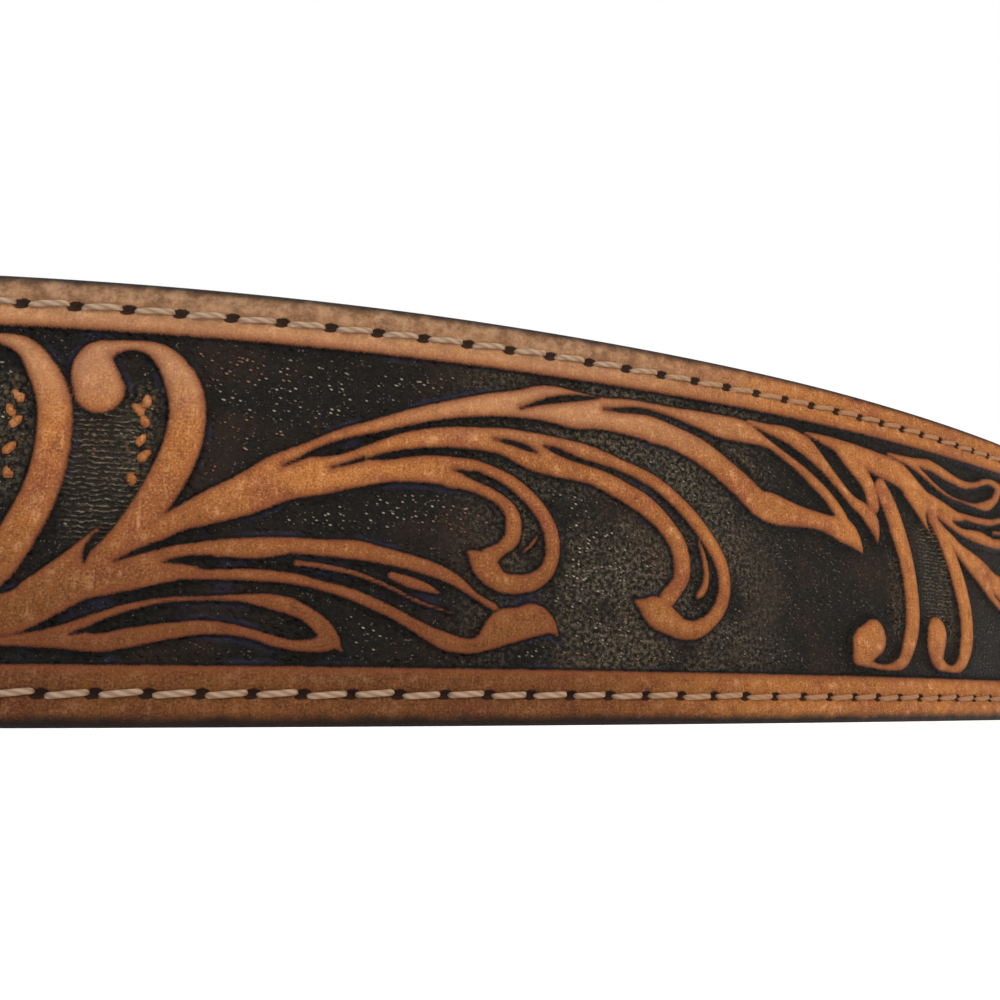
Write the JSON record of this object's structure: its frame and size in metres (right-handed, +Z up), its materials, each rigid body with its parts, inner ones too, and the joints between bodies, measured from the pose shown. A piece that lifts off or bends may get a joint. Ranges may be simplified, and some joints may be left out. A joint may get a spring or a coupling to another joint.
{
  "type": "western tooled belt",
  "caption": "Fastened leather waist belt with carved scroll work on a dark ground, stitched borders, a plain frame buckle and a keeper.",
  "frame": {"origin": "centre of the belt's footprint, on the surface that its bottom edge stands on", "axes": "+X towards the side that the free end points to, seen with the buckle in front; +Y towards the back of the belt, away from the buckle; +Z up, across the strap"},
  "size_m": [0.3562, 0.222, 0.038],
  "materials": {
    "tan_leather": "carved veg-tan leather, dyed ground, satin",
    "hardware": "worn nickel, satin",
    "keeper_leather": "plain tan leather, satin",
    "thread": "waxed cream thread"
  },
  "bodies": {
    "root": {"strap": "tan_leather", "buckle": "hardware", "keeper": "keeper_leather"}
  },
  "joints": []
}
